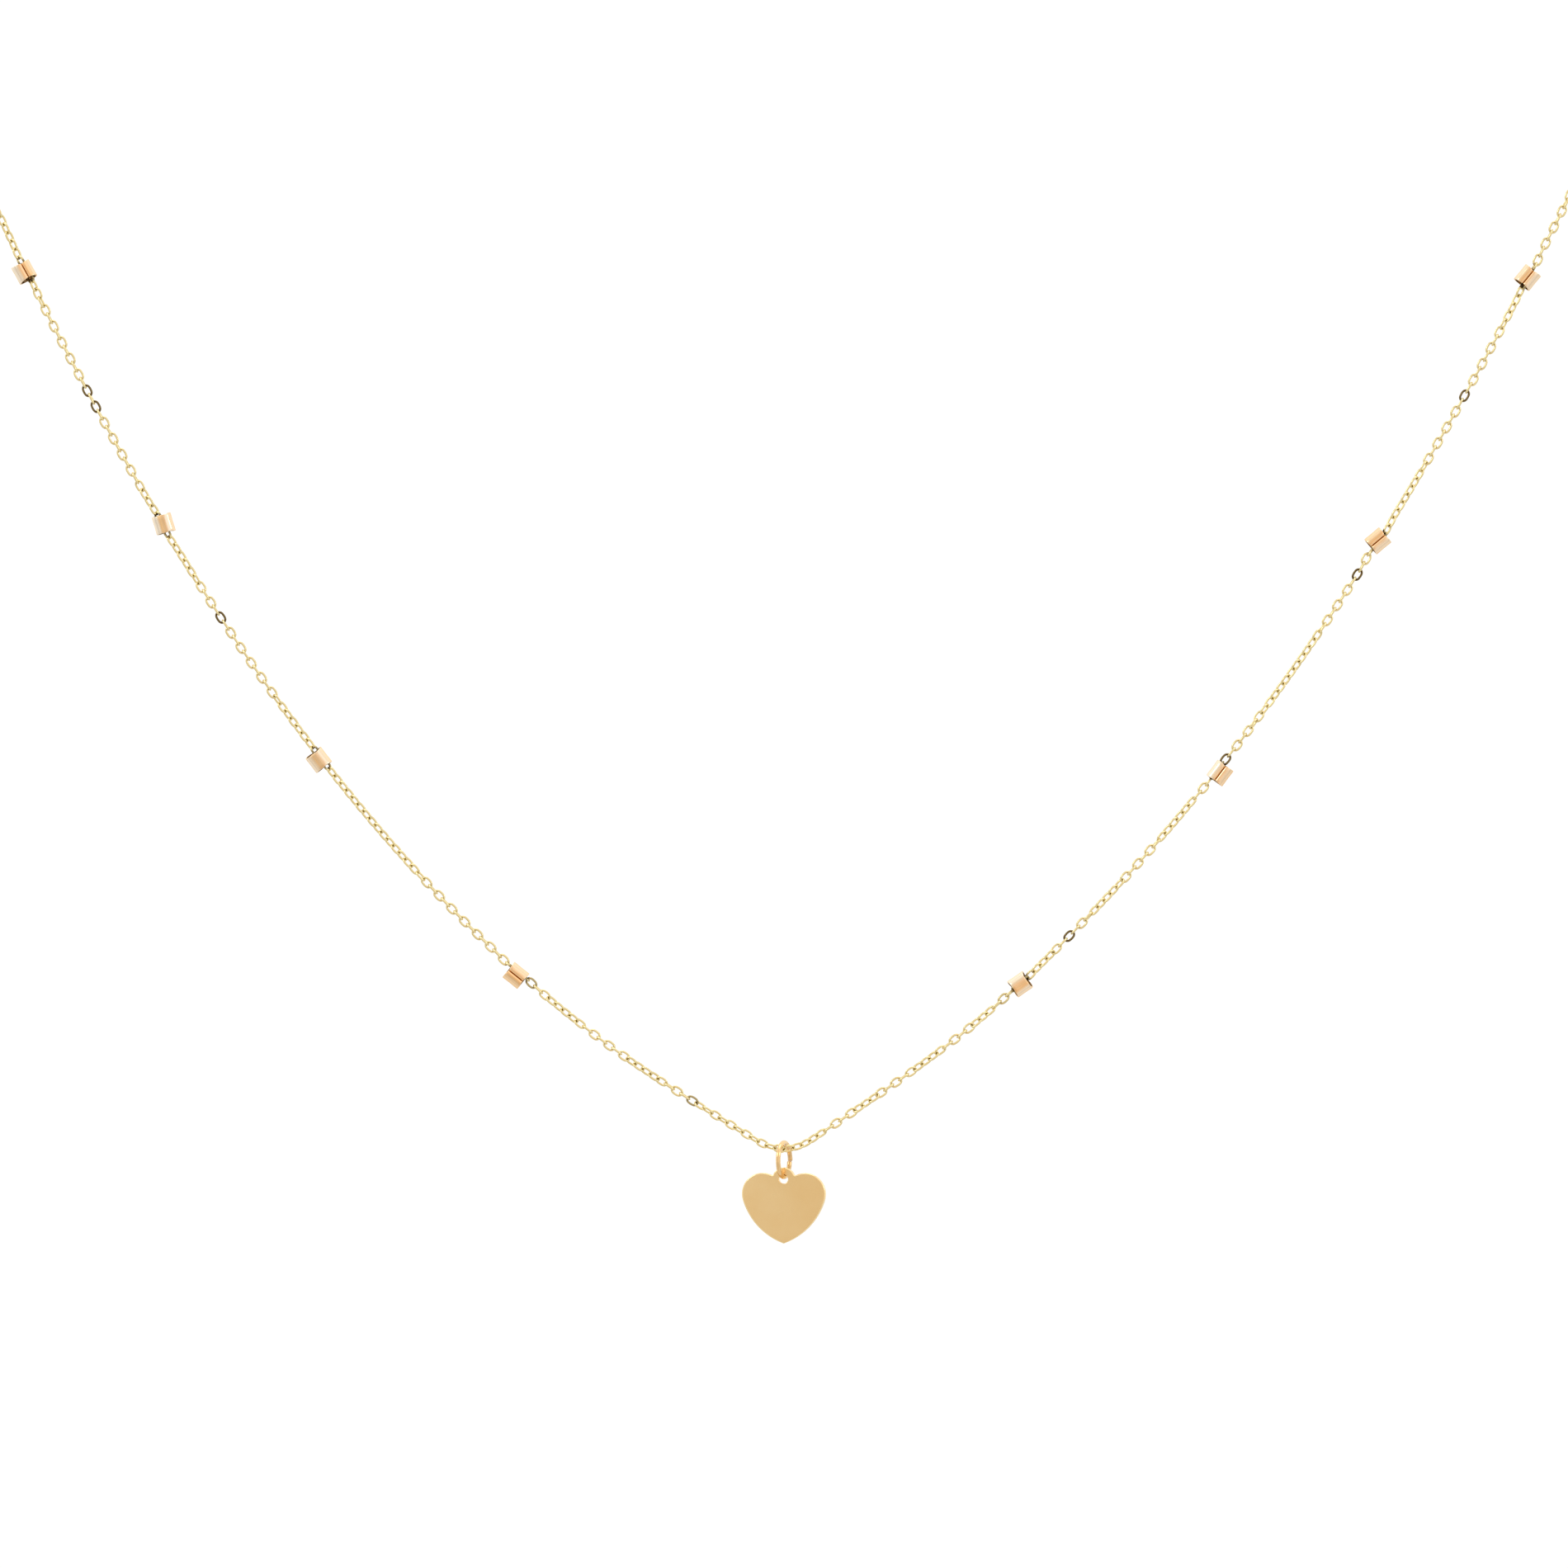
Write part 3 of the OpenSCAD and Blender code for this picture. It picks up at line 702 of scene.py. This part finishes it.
def swept(B, path, half_w, half_d, power=3.0, sides=20, cap=(True, True)):
    """A bar with a rounded oblong section along a path in the clasp's plane (x, z); half_w is across it in that
    plane and half_d through its thickness."""
    p = np.asarray(path, float)
    n = len(p)
    t = np.gradient(p, axis=0)
    t /= np.linalg.norm(t, axis=1)[:, None]
    nn = np.stack([-t[:, 1], t[:, 0]], 1)
    hw = np.broadcast_to(np.asarray(half_w, float), (n,)).copy()
    hd = np.broadcast_to(np.asarray(half_d, float), (n,)).copy()
    rows_p, rows_n, rows_w, rows_d = list(p), list(nn), list(hw), list(hd)
    for end, on in ((0, cap[0]), (-1, cap[1])):
        if not on:
            continue
        sgn = -1 if end == 0 else 1
        extra = []
        for f in (0.35, 0.65, 0.87, 0.97):
            k = (1 - f ** 3) ** (1 / 3)
            extra.append((p[end] + sgn * t[end] * hw[end] * 0.55 * f, nn[end], hw[end] * max(k, 0.25), hd[end] * max(k, 0.4)))
        if end == 0:
            for e in extra:
                rows_p.insert(0, e[0]); rows_n.insert(0, e[1]); rows_w.insert(0, e[2]); rows_d.insert(0, e[3])
        else:
            for e in extra:
                rows_p.append(e[0]); rows_n.append(e[1]); rows_w.append(e[2]); rows_d.append(e[3])
    P2, N2, W, D = (np.array(v) for v in (rows_p, rows_n, rows_w, rows_d))
    a = 2 * np.pi * np.arange(sides) / sides
    ca = np.sign(np.cos(a)) * np.abs(np.cos(a)) ** (2 / power)
    sa = np.sign(np.sin(a)) * np.abs(np.sin(a)) ** (2 / power)
    x = P2[:, None, 0] + N2[:, None, 0] * W[:, None] * ca
    z = P2[:, None, 1] + N2[:, None, 1] * W[:, None] * ca
    y = D[:, None] * sa[None, :]
    V = np.stack([x, y + 0 * x, z], -1)
    m = len(P2)
    F = grid_faces(m, sides)
    F.append(tuple(range(sides))[::-1])
    F.append(tuple((m - 1) * sides + j for j in range(sides)))
    B.add(V.reshape(-1, 3) + nape, F, 0.0, V.reshape(-1, 3))


def disc(B, x, z, rad, y0, y1, hole=0.0, soft=0.16, sides=40):
    """A round plate between depths y0 and y1 with rounded rims."""
    c, h = (y0 + y1) / 2, (y1 - y0) / 2
    soft = min(soft, h * 0.95)
    prof = [(hole, -h)] if hole else [(0.001, -h)]
    prof += [(rad - soft + soft * math.sin(q), -h + soft - soft * math.cos(q)) for q in np.linspace(0, math.pi / 2, 6)]
    prof += [(rad - soft + soft * math.cos(q), h - soft + soft * math.sin(q)) for q in np.linspace(0, math.pi / 2, 6)]
    prof += [(hole, h)] if hole else [(0.001, h)]
    a = 2 * np.pi * np.arange(sides) / sides
    V = np.array([[[x + pr * math.cos(q), c + py, z + pr * math.sin(q)] for q in a] for pr, py in prof])
    B.add(V.reshape(-1, 3) + nape, grid_faces(len(prof), sides, True, bool(hole)), 0.0, V.reshape(-1, 3))


def arc(cx, cz, r, a0, a1, n):
    return [(cx + r * math.cos(math.radians(q)), cz + r * math.sin(math.radians(q))) for q in np.linspace(a0, a1, n)]


# claw: a bar that sweeps from the shoulder under the opening and round to the hook's tip
B = Build()
claw = arc(-1.62, 0.02, 1.88, 172, 268, 12) + [(-0.6, -1.86), (0.6, -1.86)] + arc(1.62, 0.07, 1.93, 272, 440, 22)
tt = np.linspace(0, 1, len(claw))
swept(B, claw, np.interp(tt, [0, 0.2, 0.45, 0.7, 0.9, 1], [0.60, 0.60, 0.54, 0.52, 0.46, 0.36]),
      np.interp(tt, [0, 0.5, 0.85, 1], [0.80, 0.80, 0.74, 0.56]))
for y0, y1 in ((-0.8, -0.36), (0.36, 0.8)):
    disc(B, -3.02, 0.02, 1.42, y0, y1)
disc(B, -3.02, -0.75, 0.62, -0.7, 0.7, soft=0.2)
# eye and its neck
swept(B, [(-4.35, 0), (-4.1, 0), (-3.8, 0), (-3.5, 0)], [0.52, 0.56, 0.66, 0.75], 0.38, 2.6)
th = np.linspace(0, 2 * math.pi, 40, endpoint=False)
a = 2 * np.pi * np.arange(14) / 14
ca, sa = np.sign(np.cos(a)) * np.abs(np.cos(a)) ** 0.8, np.sign(np.sin(a)) * np.abs(np.sin(a)) ** 0.8
V = np.stack([-5.15 + (0.86 + 0.24 * ca)[None, :] * np.cos(th)[:, None], 0.40 * sa[None, :] + 0 * th[:, None],
              (0.86 + 0.24 * ca)[None, :] * np.sin(th)[:, None]], -1)
B.add(V.reshape(-1, 3) + nape, grid_faces(40, 14, True, True), 0.0, V.reshape(-1, 3))
ob = B.make("clasp_claw", [M_clasp])
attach(ob, "neck_loop")
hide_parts("clasp_body")

# lever: hub round the rivet, arm out to the hook's tip, thumb piece that stands above the shoulder
B = Build()
disc(B, -3.0, 0.35, 0.70, -0.29, 0.29, hole=0.32, soft=0.08)
arm = [(-2.75, 0.75), (-2.45, 1.25), (-2.05, 1.68), (-1.5, 1.88), (-0.8, 1.93), (0.0, 1.93), (0.8, 1.93), (1.46, 1.93)]
swept(B, arm, [0.34, 0.38, 0.40, 0.38, 0.38, 0.38, 0.38, 0.36], 0.30, 2.8)
swept(B, [(-2.95, 0.85), (-3.05, 1.3), (-3.15, 1.8), (-3.28, 2.25), (-3.34, 2.42)], [0.42, 0.40, 0.34, 0.36, 0.38], [0.29, 0.30, 0.32, 0.42, 0.46], 2.4)
ob = B.make("clasp_trigger", [M_clasp])
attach(ob, "lever")
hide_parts("clasp_lever")
rounded("clasp_rivet", "clasp_pin", [M_clasp], 0.06, 3)
rounded("clasp_spring", "clasp_leaf", [M_steel], 0.02, 2)


def nape_ring(cad, name, od, d, cut, R, x, mat):
    B = Build()
    if cut is None:
        r = (od - d) / 2
        th = np.linspace(0, 2 * math.pi, 64, endpoint=False)
        V, F, flow = tube(np.column_stack([r * np.cos(th), r * np.sin(th), 0 * th]), d / 2, 12, True, (0, 0, 1))
        # the soldered seam, a darker band
        tone = np.repeat(0.35 * np.exp(-((th - math.pi) / 0.10) ** 2), 12)
    else:
        V, F, tone, flow = cut_ring(od, d, cut, 0.03, 0.04, 12, 56)
    place(B, V, F, R, nape + [x, 0, 0], tone, flow)
    ob = B.make(name, [mat])
    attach(ob, body_of_node[cad])
    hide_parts(cad)


nape_ring("clasp_jump_ring", "clasp_link_ring", 3.2, 0.4, 100, rot(0, 0, 0), -6.87, M_ring)
nape_ring("end_jump_ring", "end_link_ring", 3.0, 0.4, 75, rot(90, 0, 0), 6.99, M_ring)
nape_ring("end_ring", "end_closed_ring", 4.4, 0.6, None, rot(0, 0, 0), 4.35, M_clasp)

# ---------------------------------------------------------------- floor, light, camera
me = bpy.data.meshes.new("floor")
me.from_pydata([(-1.1, -1.1, -0.3), (1.1, -1.1, -0.3), (1.1, 1.1, -0.3), (-1.1, 1.1, -0.3)], [], [(0, 1, 2, 3)])
floor = bpy.data.objects.new("floor", me)
bpy.context.scene.collection.objects.link(floor)
mf = bpy.data.materials.new("floor_white")
mf.use_nodes = True
pb = mf.node_tree.nodes["Principled BSDF"]
pb.inputs["Base Color"].default_value = (0.95, 0.95, 0.95, 1)
pb.inputs["Roughness"].default_value = 0.9
me.materials.append(mf)
floor.visible_glossy = False

world = bpy.data.worlds.new("studio")
bpy.context.scene.world = world
world.use_nodes = True
t = world.node_tree
t.nodes.clear()
L = t.links.new
out = t.nodes.new("ShaderNodeOutputWorld")
tc = t.nodes.new("ShaderNodeTexCoord")
sep = t.nodes.new("ShaderNodeSeparateXYZ")
L(tc.outputs["Generated"], sep.inputs[0])


def math_node(op, a, b=None):
    n = t.nodes.new("ShaderNodeMath")
    n.operation = op
    for i, v in enumerate((a, b)):
        if v is None:
            continue
        if isinstance(v, (int, float)):
            n.inputs[i].default_value = v
        else:
            L(v, n.inputs[i])
    return n.outputs[0]


def ramp(fac, stops):
    n = t.nodes.new("ShaderNodeValToRGB")
    cr = n.color_ramp
    cr.interpolation = "LINEAR"
    while len(cr.elements) < len(stops):
        cr.elements.new(0.5)
    for e, (pos, col) in zip(cr.elements, stops):
        e.position = pos
        e.color = (*col, 1) if not isinstance(col, (int, float)) else (col, col, col, 1)
    L(fac, n.inputs[0])
    return n.outputs[0]


# azimuth of the direction: 0.5 straight towards -Y, falling to the left (-X), rising to the right
az = math_node("ADD", math_node("DIVIDE", math_node("ARCTAN2", sep.outputs[0], math_node("MULTIPLY", sep.outputs[1], -1)), 2 * math.pi), 0.5)


def A(deg):
    return 0.5 + deg / 360


warm, cool = (0.80, 0.72, 0.55), (0.80, 0.79, 0.80)
az_ramp = ramp(az, [
    (A(-180), 1.0), (A(-110), 1.05), (A(-84), 1.0), (A(-72), 0.82), (A(-64), 0.70), (A(-56), 1.02), (A(-34), (0.90, 0.83, 0.70)),
    (A(-29), cool), (A(-22.6), cool), (A(-20.2), warm), (A(-10), (0.82, 0.72, 0.60)), (A(-4), (0.90, 0.70, 0.52)), (A(4), (0.86, 0.65, 0.47)), (A(14), (1.0, 0.91, 0.82)),
    (A(40), 1.05), (A(56), 0.95), (A(64), 0.78), (A(76), 0.92), (A(110), 1.05), (A(180), 1.0)])
el = math_node("ADD", math_node("MULTIPLY", sep.outputs[2], 0.5), 0.5)
el_ramp = ramp(el, [(0.0, 0.88), (0.2, 0.86), (0.32, 0.80), (0.42, 0.94), (0.47, 1.0), (0.56, 1.0), (0.68, 1.0), (0.80, 1.1), (1.0, 1.1)])
mul = t.nodes.new("ShaderNodeVectorMath")
mul.operation = "MULTIPLY"
L(az_ramp, mul.inputs[0])
L(el_ramp, mul.inputs[1])
bg = t.nodes.new("ShaderNodeBackground")
L(mul.outputs[0], bg.inputs["Color"])
bg.inputs["Strength"].default_value = 1.0
white = t.nodes.new("ShaderNodeBackground")
white.inputs["Color"].default_value = (1, 1, 1, 1)
white.inputs["Strength"].default_value = 1.05
lp = t.nodes.new("ShaderNodeLightPath")
mixs = t.nodes.new("ShaderNodeMixShader")
L(lp.outputs["Is Camera Ray"], mixs.inputs[0])
L(bg.outputs[0], mixs.inputs[1])
L(white.outputs[0], mixs.inputs[2])
L(mixs.outputs[0], out.inputs[0])


def area(name, loc, target, size, watts, color=(1, 1, 1)):
    d = bpy.data.lights.new(name, "AREA")
    d.shape = "DISK"
    d.size = size
    d.energy = watts
    d.color = color
    o = bpy.data.objects.new(name, d)
    bpy.context.scene.collection.objects.link(o)
    o.location = loc
    o.rotation_mode = "QUATERNION"
    o.rotation_quaternion = (Vector(target) - Vector(loc)).to_track_quat("-Z", "Y")
    o.visible_camera = False
    return o


mid = (0, -0.017, -0.09)
area("key_left", (-0.85, -0.55, 0.45), mid, 0.40, 1.3)
area("fill_right", (0.95, -0.45, 0.25), mid, 0.30, 0.6)
area("top", (0.0, -0.1, 0.95), mid, 0.7, 1.6)

DIST = 1.2
cam = bpy.data.objects.new("camera", bpy.data.cameras.new("camera"))
bpy.context.scene.collection.objects.link(cam)
cam.data.sensor_width = 36
cam.data.lens = 36 * DIST / 0.16188
cam.data.clip_start, cam.data.clip_end = 0.05, 20
cam.location = (0, front_y * MM - DIST, -0.0903)
cam.rotation_euler = (math.radians(90), 0, 0)
bpy.context.scene.camera = cam
bpy.context.scene.view_settings.view_transform = "Standard"
